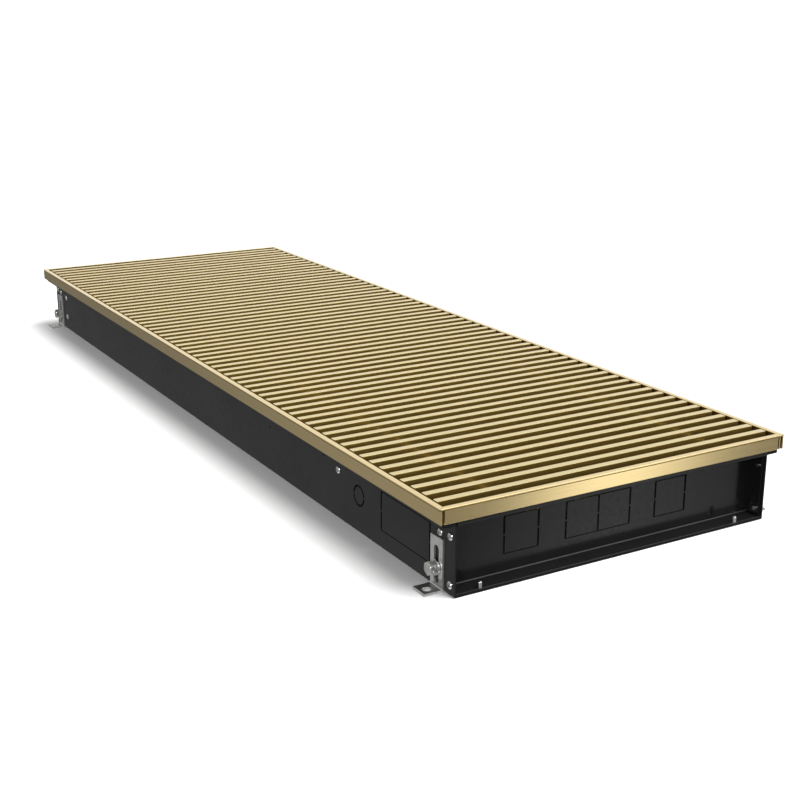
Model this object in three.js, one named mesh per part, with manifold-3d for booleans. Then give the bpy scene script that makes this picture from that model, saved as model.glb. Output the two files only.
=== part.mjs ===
// Trench convector heater: a shallow steel trough let into a floor, with a finned
// copper coil inside, a gold anodised edge frame round the top and a roll-up grille
// of cross slats lying in the frame. Millimetres, +Z up.
// X runs along the trough (+X is the connection end), Y across it.
// The origin is under the centre of the trough, on the plane the trough stands on.
import * as THREE from "three";
import { mergeVertices } from "three/addons/utils/BufferGeometryUtils.js";
import Module from "manifold-3d";

const wasm = await Module();
wasm.setup();

// ---------------------------------------------------------------- dimensions
const GAP = 0.3; // air left between touching pieces

// Overall
const FRAME_LENGTH = 1000; // edge frame, outside
const FRAME_WIDTH = 340;
const TOTAL_HEIGHT = 74; // trough bottom to frame top

// Trough
const TROUGH_LENGTH = 993.8;
const TROUGH_WIDTH = 310;
const SHEET = 1.2; // steel sheet
const HEM = 3.8; // folded-over edge flange of the trough
const RIM_TOP = 61.2; // top of the trough's edge flange
const RIM_OUT = 11; // how far the edge flange stands out

// End panels, set back from the trough's ends
const PANEL_FACE_X = 480.5;
const PANEL_SIDE_FLANGE_X = 494.7;
const PANEL_BOTTOM_FLANGE_X = 496.6;
const PANEL_TOP_FLANGE_X = 497.9;
const PANEL_HALF_WIDTH = 153.5;

// Knock-outs
const CUT = 1.2; // width of the cut round a knock-out
const BRIDGE = 1.4; // uncut bridge that holds it
const PANEL_KNOCKOUTS = [
  [-100.3, -68.2],
  [-41.6, -9.7],
  [-9.7, 22.2],
  [48.5, 80.4],
];
const PANEL_KNOCKOUT_Z = [17.6, 48.5];
const SIDE_KNOCKOUT_X = [388.2, 462.0];
const SIDE_KNOCKOUT_Z = [15.4, 48.3];
const ROUND_KNOCKOUT = { x: 351.0, z: 32.2, r: 8.4 };

// Edge frame profile, u from the outer edge inwards
const FLANGE_WIDTH = 5.1;
const FLANGE_THICKNESS = 1.6;
const SKIRT_INSET = 0.5;
const SKIRT_THICKNESS = 1.5;
const SKIRT_BOTTOM = 61.4;
const INNER_WALL = 1.5;
const WALL_BOTTOM = 61.5; // the inner wall stands on the trough's rim
const SKIRT_CORNER_GAP = 3.3; // open slit at each corner of the skirt

// Rubber strips on the rim, under the slats
const STRIP_WIDTH = 8.4;
const STRIP_Y = 158.6;
const STRIP_TOP = 63.6;

// Grille
const SLATS = 61;
const SLAT_PITCH = 16.07;
const SLAT_WIDTH = 6.4;
const SLAT_LENGTH = 327;
const SLAT_BOTTOM = 63.9;
const SLAT_HEAD = 5.2;
const SLAT_WEB = 3;
const CORE_RADIUS = 2.3; // spring core that strings the slats together
const CORE_Y = 110;
const CORE_Z = 67;
const CORE_STOP = 1.3; // core ends this far short of each fold between sections
const SECTION_SLATS = [7, 7, 7, 7, 7, 7, 7, 6, 6];

// Coil
const COIL_Y = -10;
const TUBE_PITCH = 50;
const TUBE_Z = 29;
const TUBE_RADIUS = 7.5;
const TUBE_BORE = 6.5;
const FINS = 18;
const FIN_FIRST_X = -388;
const FIN_LAST_X = 368;
const FIN_THICKNESS = 1.2;
const FIN_HALF_WIDTH = 55;
const FIN_Z = [6, 52];
const BEND_X = -412;
const TUBE_END_X = 406;

// Adjustable feet
const FOOT_X = 474.8;
const FOOT_WIDTH = 17;
const FOOT_SHEET = 1.9;
const FOOT_HEIGHT = 41.8;
const FOOT_REACH = 17.6;
const SLOT_HALF_WIDTH = 3.35;
const SLOT_Z = [4.6, 35.0];
const BOLT_Z = 17.6;
const BOLT_RADIUS = 3;
const BOLT_HOLE_RADIUS = 3.5;

// Rivets
const SIDE_RIVETS = [
  // x, z of the blind rivets through each long wall, at the +X end
  ["upper", 490.3, 47.0],
  ["lower", 490.3, 8.2],
  ["inner", 476.3, 45.4],
];
const FLOOR_RIVET_X = 494.6;
const FLOOR_RIVET_Y = [-131, 125];
const BRACE_X = 315;

// ---------------------------------------------------------------- materials
const metal = (color, roughness, metalness = 1) =>
  new THREE.MeshStandardMaterial({ color, roughness, metalness });
const goldAnodised = () => metal(0xcdb47a, 0.34);
const blackCoat = () => metal(0x1d1d1e, 0.55, 0.1);
const zinc = () => metal(0xb4b6b4, 0.38);
const copper = () => metal(0xb4683c, 0.3);
const finAluminium = () => metal(0xc9ccd0, 0.4);
const brass = () => metal(0xc6a24c, 0.32);
const galvanised = () => metal(0xa9adb0, 0.5);
const rubber = () => metal(0x161616, 0.85, 0);

// ---------------------------------------------------------------- helpers
const v2 = (p) => new THREE.Vector2(p[0], p[1]);

function toSolid(geometry) {
  const loose = geometry.index ? geometry.toNonIndexed() : geometry.clone();
  const bare = new THREE.BufferGeometry().setAttribute(
    "position",
    loose.getAttribute("position"),
  );
  const merged = mergeVertices(bare, 1e-4);
  return new wasm.Manifold(
    new wasm.Mesh({
      numProp: 3,
      vertProperties: merged.attributes.position.array,
      triVerts: new Uint32Array(merged.index.array),
    }),
  );
}

function toGeometry(solid) {
  const mesh = solid.getMesh();
  const points = new Float32Array(mesh.numVert * 3);
  for (let i = 0; i < mesh.numVert; i++)
    points.set(
      mesh.vertProperties.subarray(i * mesh.numProp, i * mesh.numProp + 3),
      i * 3,
    );
  const flat = new THREE.BufferGeometry()
    .setAttribute("position", new THREE.BufferAttribute(points, 3))
    .setIndex(new THREE.BufferAttribute(new Uint32Array(mesh.triVerts), 1))
    .toNonIndexed();
  flat.computeVertexNormals();
  return flat;
}

// A block between two corners.
const block = (x0, x1, y0, y1, z0, z1) =>
  new THREE.BoxGeometry(x1 - x0, y1 - y0, z1 - z0).translate(
    (x0 + x1) / 2,
    (y0 + y1) / 2,
    (z0 + z1) / 2,
  );

// A straight bar of any section. Its outline is given in (y, z), (x, z) or (x, y).
function bar(axis, outline, from, to, holes = []) {
  const shape = new THREE.Shape(outline.map(v2));
  for (const hole of holes) shape.holes.push(new THREE.Path(hole.map(v2)));
  const geometry = new THREE.ExtrudeGeometry(shape, {
    depth: to - from,
    bevelEnabled: false,
    steps: 1,
  });
  const turn = new THREE.Matrix4();
  const X = new THREE.Vector3(1, 0, 0),
    Y = new THREE.Vector3(0, 1, 0),
    Z = new THREE.Vector3(0, 0, 1);
  if (axis === "x") turn.makeBasis(Y, Z, X).setPosition(from, 0, 0);
  if (axis === "y")
    turn.makeBasis(X, Z, Y.clone().negate()).setPosition(0, to, 0);
  if (axis === "z") turn.setPosition(0, 0, from);
  return geometry.applyMatrix4(turn);
}

const circle = (cx, cy, r, n, phase = 0.5) =>
  Array.from({ length: n }, (_, i) => {
    const a = ((i + phase) * 2 * Math.PI) / n;
    return [cx + r * Math.cos(a), cy + r * Math.sin(a)];
  });

// A slot with round ends, long side along the second coordinate.
function stadium(cx, z0, z1, r, n = 6) {
  const points = [];
  for (let i = 0; i <= n; i++) {
    const a = (i * Math.PI) / n;
    points.push([cx + r * Math.cos(a), z1 - r + r * Math.sin(a)]);
  }
  for (let i = 0; i <= n; i++) {
    const a = Math.PI + (i * Math.PI) / n;
    points.push([cx + r * Math.cos(a), z0 + r + r * Math.sin(a)]);
  }
  return points;
}

const rectangle = (a0, a1, b0, b1, corner) => [
  [a0 + corner, b0],
  [a1 - corner, b0],
  [a1, b0 + corner],
  [a1, b1 - corner],
  [a1 - corner, b1],
  [a0 + corner, b1],
  [a0, b1 - corner],
  [a0, b0 + corner],
];

const join = (parts) =>
  parts.map((p) => (p.getMesh ? p : toSolid(p))).reduce((a, b) => a.add(b));
const cut = (body, tools) =>
  tools
    .map((p) => (p.getMesh ? p : toSolid(p)))
    .reduce((a, b) => a.subtract(b), body.getMesh ? body : toSolid(body));

// The cut line round a rectangular knock-out, with a bridge half way up each side.
function knockoutCut(axis, [a0, a1], [b0, b1], from, to) {
  const h = CUT / 2;
  const line = bar(
    axis,
    rectangle(a0 - h, a1 + h, b0 - h, b1 + h, 1.6),
    from,
    to,
    [rectangle(a0 + h, a1 - h, b0 + h, b1 - h, 1.3)],
  );
  const mid = (b0 + b1) / 2;
  const bridges = [a0, a1].map((a) =>
    bar(
      axis,
      rectangle(a - 1, a + 1, mid - BRIDGE / 2, mid + BRIDGE / 2, 0.01),
      from - 1,
      to + 1,
    ),
  );
  return cut(line, bridges);
}

const heater = new THREE.Group();

function piece(name, geometry, material, place = {}, parent = heater) {
  const mesh = new THREE.Mesh(
    geometry.getMesh ? toGeometry(geometry) : geometry,
    material,
  );
  mesh.name = name;
  if (place.position) mesh.position.set(...place.position);
  if (place.rotation) mesh.rotation.set(...place.rotation);
  parent.add(mesh);
  return mesh;
}

// ---------------------------------------------------------------- trough
const halfLength = TROUGH_LENGTH / 2;
const wallOut = TROUGH_WIDTH / 2;
const wallIn = wallOut - SHEET;
const rimOut = wallOut + RIM_OUT;
const rimUnder = RIM_TOP - HEM;
const bend = 0.8;

const troughBlank = bar(
  "x",
  [
    [-wallOut + bend, 0],
    [wallOut - bend, 0],
    [wallOut, bend],
    [wallOut, rimUnder],
    [rimOut, rimUnder],
    [rimOut, RIM_TOP],
    [wallIn, RIM_TOP],
    [wallIn, SHEET],
    [-wallIn, SHEET],
    [-wallIn, RIM_TOP],
    [-rimOut, RIM_TOP],
    [-rimOut, rimUnder],
    [-wallOut, rimUnder],
    [-wallOut, bend],
  ],
  -halfLength,
  halfLength,
);

// Threaded sleeves pressed into the walls for the foot bolts.
const nutSleeves = [];
for (const sx of [-1, 1])
  for (const sy of [-1, 1])
    nutSleeves.push(
      bar(
        "y",
        circle(sx * FOOT_X, BOLT_Z, 4.4, 8, 0.5),
        sy > 0 ? wallIn - 5 : -wallIn - 0.2,
        sy > 0 ? wallIn + 0.2 : -wallIn + 5,
      ),
    );

const troughCuts = [];
for (const sx of [-1, 1]) {
  for (const [, x, z] of SIDE_RIVETS)
    for (const sy of [-1, 1])
      troughCuts.push(
        bar(
          "y",
          circle(sx * x, z, 2.15, 8),
          sy > 0 ? wallIn - 2 : -wallOut - 2,
          sy > 0 ? wallOut + 2 : -wallIn + 2,
        ),
      );
  for (const sy of [-1, 1])
    troughCuts.push(
      bar(
        "y",
        circle(sx * FOOT_X, BOLT_Z, BOLT_HOLE_RADIUS, 8),
        sy > 0 ? wallIn - 6 : -wallOut - 2,
        sy > 0 ? wallOut + 2 : -wallIn + 6,
      ),
    );
  for (const y of FLOOR_RIVET_Y)
    troughCuts.push(bar("z", circle(sx * FLOOR_RIVET_X, sx * y, 2.15, 8), -2, 3));
}
troughCuts.push(
  knockoutCut("y", SIDE_KNOCKOUT_X, SIDE_KNOCKOUT_Z, -wallOut - 2, -wallIn + 2),
);
const roundCut = cut(
  bar(
    "y",
    circle(
      ROUND_KNOCKOUT.x,
      ROUND_KNOCKOUT.z,
      ROUND_KNOCKOUT.r + CUT / 2,
      16,
    ),
    -wallOut - 2,
    -wallIn + 2,
    [
      circle(
        ROUND_KNOCKOUT.x,
        ROUND_KNOCKOUT.z,
        ROUND_KNOCKOUT.r - CUT / 2,
        16,
      ),
    ],
  ),
  [
    block(
      ROUND_KNOCKOUT.x - 12,
      ROUND_KNOCKOUT.x + 12,
      -wallOut - 3,
      -wallIn + 3,
      ROUND_KNOCKOUT.z - BRIDGE / 2,
      ROUND_KNOCKOUT.z + BRIDGE / 2,
    ),
  ],
);
troughCuts.push(roundCut);
piece(
  "trough",
  cut(join([troughBlank, ...nutSleeves]), troughCuts),
  blackCoat(),
);

// ---------------------------------------------------------------- end panels
const panelBack = PANEL_FACE_X - SHEET;
const panelFloor = SHEET + GAP;
const endPanel = cut(
  join([
    block(
      panelBack,
      PANEL_FACE_X,
      -PANEL_HALF_WIDTH,
      PANEL_HALF_WIDTH,
      panelFloor,
      RIM_TOP,
    ),
    block(
      panelBack,
      PANEL_BOTTOM_FLANGE_X,
      -PANEL_HALF_WIDTH + 3,
      PANEL_HALF_WIDTH - 3,
      panelFloor,
      panelFloor + SHEET,
    ),
    block(
      panelBack,
      PANEL_TOP_FLANGE_X,
      -PANEL_HALF_WIDTH,
      PANEL_HALF_WIDTH,
      rimUnder,
      RIM_TOP,
    ),
    block(
      panelBack,
      PANEL_SIDE_FLANGE_X,
      -PANEL_HALF_WIDTH,
      -PANEL_HALF_WIDTH + SHEET,
      4,
      rimUnder - 0.6,
    ),
    block(
      panelBack,
      PANEL_SIDE_FLANGE_X,
      PANEL_HALF_WIDTH - SHEET,
      PANEL_HALF_WIDTH,
      4,
      rimUnder - 0.6,
    ),
  ]),
  [
    ...PANEL_KNOCKOUTS.map((span) =>
      knockoutCut("x", span, PANEL_KNOCKOUT_Z, panelBack - 1, PANEL_FACE_X + 1),
    ),
    ...SIDE_RIVETS.slice(0, 2).map(([, x, z]) =>
      bar("y", circle(x, z, 2.15, 8), -wallOut - 2, wallOut + 2),
    ),
    ...FLOOR_RIVET_Y.map((y) =>
      bar("z", circle(FLOOR_RIVET_X, y, 2.15, 8), -1, 5),
    ),
  ],
);
for (const [name, turn] of [
  ["front", 0],
  ["rear", Math.PI],
])
  piece("end_panel_" + name, endPanel, blackCoat(), { rotation: [0, 0, turn] });

// ---------------------------------------------------------------- edge frame
const halfFrameL = FRAME_LENGTH / 2;
const halfFrameW = FRAME_WIDTH / 2;
const flangeUnder = TOTAL_HEIGHT - FLANGE_THICKNESS;
const wallU = FLANGE_WIDTH - INNER_WALL;
const edge = 0.35;
const profileNoSkirt = [
  [0, flangeUnder],
  [wallU, flangeUnder],
  [wallU, WALL_BOTTOM],
  [FLANGE_WIDTH, WALL_BOTTOM],
  [FLANGE_WIDTH, TOTAL_HEIGHT - edge],
  [FLANGE_WIDTH - edge, TOTAL_HEIGHT],
  [edge, TOTAL_HEIGHT],
  [0, TOTAL_HEIGHT - edge],
];
const mitre = 0.2;
function sideProfile(half, halfOther, skirtEnd) {
  // Runs along X at the -Y edge of a frame `half` long and `halfOther` wide.
  const body = bar(
    "x",
    profileNoSkirt.map(([u, z]) => [-halfOther + u, z]),
    -half,
    half,
  );
  const plan = bar(
    "z",
    [
      [-half + mitre, -halfOther],
      [half - mitre, -halfOther],
      [half - mitre - 40, -halfOther + 40],
      [-half + mitre + 40, -halfOther + 40],
    ],
    50,
    90,
  );
  const skirt = block(
    -skirtEnd,
    skirtEnd,
    -halfOther + SKIRT_INSET,
    -halfOther + SKIRT_INSET + SKIRT_THICKNESS,
    SKIRT_BOTTOM,
    flangeUnder - GAP,
  );
  const root = block(
    -skirtEnd + 3,
    skirtEnd - 3,
    -halfOther + SKIRT_INSET,
    -halfOther + SKIRT_INSET + SKIRT_THICKNESS,
    flangeUnder - 1,
    flangeUnder + 0.2,
  );
  return join([toSolid(body).intersect(toSolid(plan)), skirt, root]);
}
const longProfile = sideProfile(
  halfFrameL,
  halfFrameW,
  halfFrameL - SKIRT_INSET,
);
const shortProfile = sideProfile(
  halfFrameW,
  halfFrameL,
  halfFrameW - SKIRT_INSET - SKIRT_THICKNESS - SKIRT_CORNER_GAP,
);
piece("frame_profile_left", longProfile, goldAnodised());
piece("frame_profile_right", longProfile, goldAnodised(), {
  rotation: [0, 0, Math.PI],
});
piece("frame_profile_front", shortProfile, goldAnodised(), {
  rotation: [0, 0, Math.PI / 2],
});
piece("frame_profile_rear", shortProfile, goldAnodised(), {
  rotation: [0, 0, -Math.PI / 2],
});

// Rubber strips on the trough's rim, under the ends of the slats.
for (const [name, sy] of [
  ["left", -1],
  ["right", 1],
])
  piece(
    "grille_rest_strip_" + name,
    block(
      -488,
      488,
      -STRIP_WIDTH / 2,
      STRIP_WIDTH / 2,
      RIM_TOP + GAP,
      STRIP_TOP,
    ),
    rubber(),
    { position: [0, sy * STRIP_Y, 0] },
  );

// ---------------------------------------------------------------- roll-up grille
const h = SLAT_WIDTH / 2,
  w = SLAT_WEB / 2,
  headUnder = TOTAL_HEIGHT - SLAT_HEAD;
const slatOutline = [
  [-h, TOTAL_HEIGHT],
  [-h, headUnder],
  [-w, headUnder],
  [-w, SLAT_BOTTOM],
  [w, SLAT_BOTTOM],
  [w, headUnder],
  [h, headUnder],
  [h, TOTAL_HEIGHT],
];
const slatX = (i) => (i - (SLATS - 1) / 2) * SLAT_PITCH;
let firstSlat = 0;
SECTION_SLATS.forEach((count, s) => {
  const start = slatX(firstSlat),
    end = slatX(firstSlat + count - 1);
  const isFirst = s === 0,
    isLast = s === SECTION_SLATS.length - 1;
  const coreFrom = start - (isFirst ? 4 : SLAT_PITCH / 2 - CORE_STOP);
  const coreTo = end + (isLast ? 4 : SLAT_PITCH / 2 - CORE_STOP);
  const parts = [];
  for (let i = 0; i < count; i++)
    parts.push(
      bar(
        "y",
        slatOutline.map(([x, z]) => [x + i * SLAT_PITCH, z]),
        -SLAT_LENGTH / 2,
        SLAT_LENGTH / 2,
      ),
    );
  for (const sy of [-1, 1])
    parts.push(
      bar(
        "x",
        circle(sy * CORE_Y, CORE_Z, CORE_RADIUS, 4),
        coreFrom - start,
        coreTo - start,
      ),
    );
  piece("grille_section_" + (s + 1), join(parts), goldAnodised(), {
    position: [start, 0, 0],
  });
  firstSlat += count;
});

// ---------------------------------------------------------------- coil
const coil = new THREE.Group();
coil.position.set(0, COIL_Y, 0);
heater.add(coil);
const tubeYs = [-TUBE_PITCH / 2, TUBE_PITCH / 2];

// Fins on their collars, which run one into the next along each tube.
const finParts = [];
for (let i = 0; i < FINS; i++) {
  const x = FIN_FIRST_X + (i * (FIN_LAST_X - FIN_FIRST_X)) / (FINS - 1);
  finParts.push(
    block(
      x - FIN_THICKNESS / 2,
      x + FIN_THICKNESS / 2,
      -FIN_HALF_WIDTH,
      FIN_HALF_WIDTH,
      FIN_Z[0],
      FIN_Z[1],
    ),
  );
}
for (const y of tubeYs)
  finParts.push(
    bar(
      "x",
      circle(y, TUBE_Z, 9.4, 8),
      FIN_FIRST_X - 0.4,
      FIN_LAST_X + 0.4,
    ),
  );
piece(
  "coil_fin_pack",
  cut(
    join(finParts),
    tubeYs.map((y) =>
      bar("x", circle(y, TUBE_Z, 8.35, 8), FIN_FIRST_X - 5, FIN_LAST_X + 5),
    ),
  ),
  finAluminium(),
  {},
  coil,
);

// One copper hairpin: out along one tube, round the bend and back.
class BendCurve extends THREE.Curve {
  getPoint(t, target = new THREE.Vector3()) {
    const a = Math.PI / 2 + t * Math.PI;
    return target.set(
      BEND_X + (TUBE_PITCH / 2) * Math.cos(a),
      (TUBE_PITCH / 2) * Math.sin(a),
      TUBE_Z,
    );
  }
}
const tubeRun = (r, endX) => {
  const round = circle(0, 0, r, 12, 0);
  const arc = new THREE.ExtrudeGeometry(new THREE.Shape(round.map(v2)), {
    steps: 8,
    bevelEnabled: false,
    extrudePath: new BendCurve(),
  });
  return join([
    arc,
    ...tubeYs.map((y) =>
      bar("x", circle(y, TUBE_Z, r, 12, 0), BEND_X - 0.02, endX),
    ),
  ]);
};
piece(
  "coil_hairpin_tube",
  tubeRun(TUBE_RADIUS, TUBE_END_X).subtract(tubeRun(TUBE_BORE, TUBE_END_X + 5)),
  copper(),
  {},
  coil,
);

// Brass unions on the two tube ends, with a hexagon and a female thread.
const unionBody = cut(
  join([
    bar("x", circle(0, 0, 13.2, 6, 0), 8, 30),
    bar("x", circle(0, 0, 10.4, 12), 0, 9),
  ]),
  [
    bar("x", circle(0, 0, 8.1, 12), -1, 10),
    bar("x", circle(0, 0, 5.5, 12), 9, 14),
    bar("x", circle(0, 0, 9.3, 12), 13, 32),
  ],
);
["supply", "return"].forEach((name, i) =>
  piece(
    "coil_union_" + name,
    unionBody,
    brass(),
    { position: [TUBE_END_X - 9, tubeYs[i], TUBE_Z] },
    coil,
  ),
);

// Bleed valve on the return union.
const valve = new THREE.Group();
valve.position.set(TUBE_END_X + 10, tubeYs[1], TUBE_Z + 13.2 * Math.cos(Math.PI / 6) + GAP);
coil.add(valve);
piece(
  "bleed_valve_body",
  cut(join([bar("z", circle(0, 0, 5, 10), 0, 8), bar("z", circle(0, 0, 6.2, 6), 0, 3.5)]), [
    bar("z", circle(0, 0, 2.9, 10), 2, 9),
  ]),
  brass(),
  {},
  valve,
);
piece(
  "bleed_valve_screw",
  join([
    bar("z", circle(0, 0, 2.3, 10), 2.5, 8.5),
    bar("z", circle(0, 0, 3.2, 4), 8.4, 10.8),
  ]),
  brass(),
  {},
  valve,
);

// End plates of the coil, standing on rubber pads.
const plateTop = 54;
for (const [name, sx] of [
  ["front", 1],
  ["rear", -1],
]) {
  const x0 = sx > 0 ? FIN_LAST_X + 2.5 : FIN_FIRST_X - 2.5;
  const face = [Math.min(x0, x0 + sx * 1.5), Math.max(x0, x0 + sx * 1.5)];
  const foot = [Math.min(x0, x0 + sx * 14), Math.max(x0, x0 + sx * 14)];
  piece(
    "coil_end_plate_" + name,
    cut(
      join([
        block(...face, -60, 60, 3.3, plateTop),
        block(...foot, -60, 60, 3.3, 4.8),
      ]),
      tubeYs.map((y) =>
        bar("x", circle(y, TUBE_Z, 8.3, 12), face[0] - 1, face[1] + 1),
      ),
    ),
    galvanised(),
    {},
    coil,
  );
  piece(
    "coil_rubber_pad_" + name,
    block(foot[0] - 1, foot[1] + 1, -62, 62, SHEET + GAP, 3.0),
    rubber(),
    {},
    coil,
  );
}

// Air guides on both sides of the fins, hooked round the end plates.
for (const [name, sy] of [
  ["left", -1],
  ["right", 1],
]) {
  const a = FIN_FIRST_X - 2.5 - 1.5 - GAP - 1,
    b = FIN_LAST_X + 2.5 + 1.5 + GAP + 1;
  const y0 = 61.5,
    y1 = 62.5;
  const span = (p, q) => (sy > 0 ? [p, q] : [-q, -p]);
  piece(
    "air_guide_" + name,
    join([
      block(a, b, ...span(y0, y1), 14, 52),
      block(a, a + 1, ...span(52, y1), 14, 52),
      block(b - 1, b, ...span(52, y1), 14, 52),
      block(a, b, ...span(y0, 70), 51, 52),
    ]),
    galvanised(),
    {},
    coil,
  );
}

// ---------------------------------------------------------------- cross braces
const braceHalf = 9;
const brace = cut(
  join([
    bar(
      "y",
      [
        [-braceHalf, 57.5],
        [-braceHalf, 53.5],
        [-braceHalf + 1, 53.5],
        [-braceHalf + 1, 56.3],
        [braceHalf - 1, 56.3],
        [braceHalf - 1, 53.5],
        [braceHalf, 53.5],
        [braceHalf, 57.5],
      ],
      -148,
      148,
    ),
    block(-braceHalf, braceHalf, -153.5, 153.5, 56.3, 57.5),
    block(-braceHalf, braceHalf, -153.5, -152.3, 37, 57.5),
    block(-braceHalf, braceHalf, 152.3, 153.5, 37, 57.5),
  ]),
  [],
);
for (const [name, x] of [
  ["front", BRACE_X],
  ["rear", -BRACE_X],
])
  piece("cross_brace_" + name, brace, blackCoat(), { position: [x, 0, 0] });

// ---------------------------------------------------------------- feet
const footBody = cut(
  join([
    block(
      -FOOT_WIDTH / 2,
      FOOT_WIDTH / 2,
      -GAP - FOOT_SHEET,
      -GAP,
      0,
      FOOT_HEIGHT,
    ),
    block(-FOOT_WIDTH / 2, FOOT_WIDTH / 2, -FOOT_REACH, -GAP, 0, FOOT_SHEET),
  ]),
  [
    bar("y", stadium(0, ...SLOT_Z, SLOT_HALF_WIDTH), -5, 2),
    bar("z", circle(1.2, -11.2, 3.6, 12), -1, 4),
  ],
);
const boltBody = join([
  bar("y", circle(0, 0, 10 / 2 / Math.cos(Math.PI / 6), 6, 0), -10.1, -6.1),
  bar("y", circle(0, 0, 4.6, 12), -6.2, -4.6),
  bar("y", circle(0, 0, BOLT_RADIUS, 12), -5, 9),
]);
const washerBody = cut(bar("y", circle(0, 0, 6.4, 12), -4.1, -2.5), [
  bar("y", circle(0, 0, 3.45, 8), -6, 0),
]);

// A blind rivet, its domed head outside at z = 0 and its tail along -z.
const rivet = (shank) =>
  new THREE.LatheGeometry(
    [
      [0, -shank],
      [1.75, -shank],
      [1.75, 0.05],
      [3.2, 0.05],
      [2.3, 1.0],
      [0, 1.4],
    ].map(v2),
    8,
  ).rotateX(Math.PI / 2);

for (const [endName, sx] of [
  ["front", 1],
  ["rear", -1],
])
  for (const [sideName, sy] of [
    ["left", -1],
    ["right", 1],
  ]) {
    const at = endName + "_" + sideName;
    const corner = new THREE.Group();
    corner.position.set(sx * FOOT_X, sy * wallOut, 0);
    corner.rotation.set(0, 0, sy < 0 ? 0 : Math.PI);
    heater.add(corner);
    piece("foot_bracket_" + at, footBody, zinc(), {}, corner);
    piece(
      "foot_bolt_" + at,
      boltBody,
      zinc(),
      { position: [0, 0, BOLT_Z] },
      corner,
    );
    piece(
      "foot_washer_" + at,
      washerBody,
      zinc(),
      { position: [0, 0, BOLT_Z] },
      corner,
    );
    for (const [which, x, z] of SIDE_RIVETS)
      piece(
        "wall_rivet_" + at + "_" + which,
        rivet(which === "inner" ? 4 : 5.5),
        zinc(),
        {
          position: [sx * x, sy * (wallOut + 0.25), z],
          rotation: [sy < 0 ? Math.PI / 2 : -Math.PI / 2, 0, 0],
        },
      );
  }

// Rivets up through the floor of each end, with countersunk heads flush below.
const floorRivet = new THREE.LatheGeometry(
  [
    [0, 0.1],
    [1.75, 0.1],
    [1.75, 7.0],
    [1.1, 7.8],
    [0, 7.8],
  ].map(v2),
  8,
).rotateX(Math.PI / 2);
for (const [endName, sx] of [
  ["front", 1],
  ["rear", -1],
])
  FLOOR_RIVET_Y.forEach((y, i) =>
    piece(
      "floor_rivet_" + endName + "_" + (i ? "b" : "a"),
      floorRivet.clone(),
      zinc(),
      { position: [sx * FLOOR_RIVET_X, sx * y, 0] },
    ),
  );

export default heater;
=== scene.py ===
import math

import bmesh
import bpy
from mathutils import Matrix, Vector


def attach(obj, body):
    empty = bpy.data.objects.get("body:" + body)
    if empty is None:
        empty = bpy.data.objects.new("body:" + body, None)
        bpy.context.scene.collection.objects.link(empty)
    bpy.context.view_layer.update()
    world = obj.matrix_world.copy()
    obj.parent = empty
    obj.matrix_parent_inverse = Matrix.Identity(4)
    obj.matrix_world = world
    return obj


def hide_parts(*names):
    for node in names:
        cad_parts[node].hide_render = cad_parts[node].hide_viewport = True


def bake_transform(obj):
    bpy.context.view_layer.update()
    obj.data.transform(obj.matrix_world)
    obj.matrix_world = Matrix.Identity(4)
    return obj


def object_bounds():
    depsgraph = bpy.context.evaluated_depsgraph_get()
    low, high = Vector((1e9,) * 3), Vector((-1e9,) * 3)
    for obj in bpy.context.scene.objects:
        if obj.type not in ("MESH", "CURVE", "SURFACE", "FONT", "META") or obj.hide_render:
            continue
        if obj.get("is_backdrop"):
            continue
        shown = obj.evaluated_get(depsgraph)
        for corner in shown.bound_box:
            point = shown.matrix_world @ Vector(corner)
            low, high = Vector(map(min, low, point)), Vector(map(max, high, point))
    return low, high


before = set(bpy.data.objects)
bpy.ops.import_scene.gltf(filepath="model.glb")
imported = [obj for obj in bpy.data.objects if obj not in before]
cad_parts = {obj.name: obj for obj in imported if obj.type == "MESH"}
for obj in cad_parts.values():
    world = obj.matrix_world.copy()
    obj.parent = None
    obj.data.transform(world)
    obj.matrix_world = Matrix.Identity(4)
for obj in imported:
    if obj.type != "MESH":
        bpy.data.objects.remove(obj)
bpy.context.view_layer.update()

MM = 0.001

# ------------------------------------------------------------------ dimensions, mm
TOP = 74.0
FRAME_L, FRAME_W = 500.0, 170.0
TROUGH_L, WALL_OUT, SHEET = 496.9, 155.0, 1.2
WALL_IN = WALL_OUT - SHEET
RIM_TOP, RIM_UNDER, RIM_OUT = 61.2, 57.4, 166.0
PANEL_X, PANEL_BACK, PANEL_HALF = 480.5, 479.3, 153.5
PANEL_KNOCKOUTS = [(-100.3, -68.2), (-41.6, -9.7), (-9.7, 22.2), (48.5, 80.4)]
PANEL_KNOCKOUT_Z = (17.6, 48.5)
SIDE_KNOCKOUT = ((388.2, 462.0), (15.4, 48.3))
CUT_HALF, BRIDGE_HALF = 0.95, 0.6
ROUND_KNOCKOUT = (351.0, 32.2, 8.4)
SLATS, PITCH, SLAT_HALF = 61, 16.07, 163.5
SLAT_W, SLAT_UNDER = 3.2, 68.8
SECTIONS = [7, 7, 7, 7, 7, 7, 7, 6, 6]
SPRING_Y, SPRING_Z = 110.0, 67.0
COIL_Y, TUBE_Z = -10.0, 29.0
TUBE_Y = (-35.0, 15.0)
FIN_X = (-388.0, 368.0)
FOOT_X = 474.8
BOLT_Z = 17.6
SIDE_RIVETS = {"upper": (490.3, 47.0), "lower": (490.3, 8.2), "inner": (476.3, 45.4)}
BRACE_X = 315.0
CORNERS = [
    (e + "_" + s, sx, sy)
    for e, sx in (("front", 1), ("rear", -1))
    for s, sy in (("left", -1), ("right", 1))
]


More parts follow.
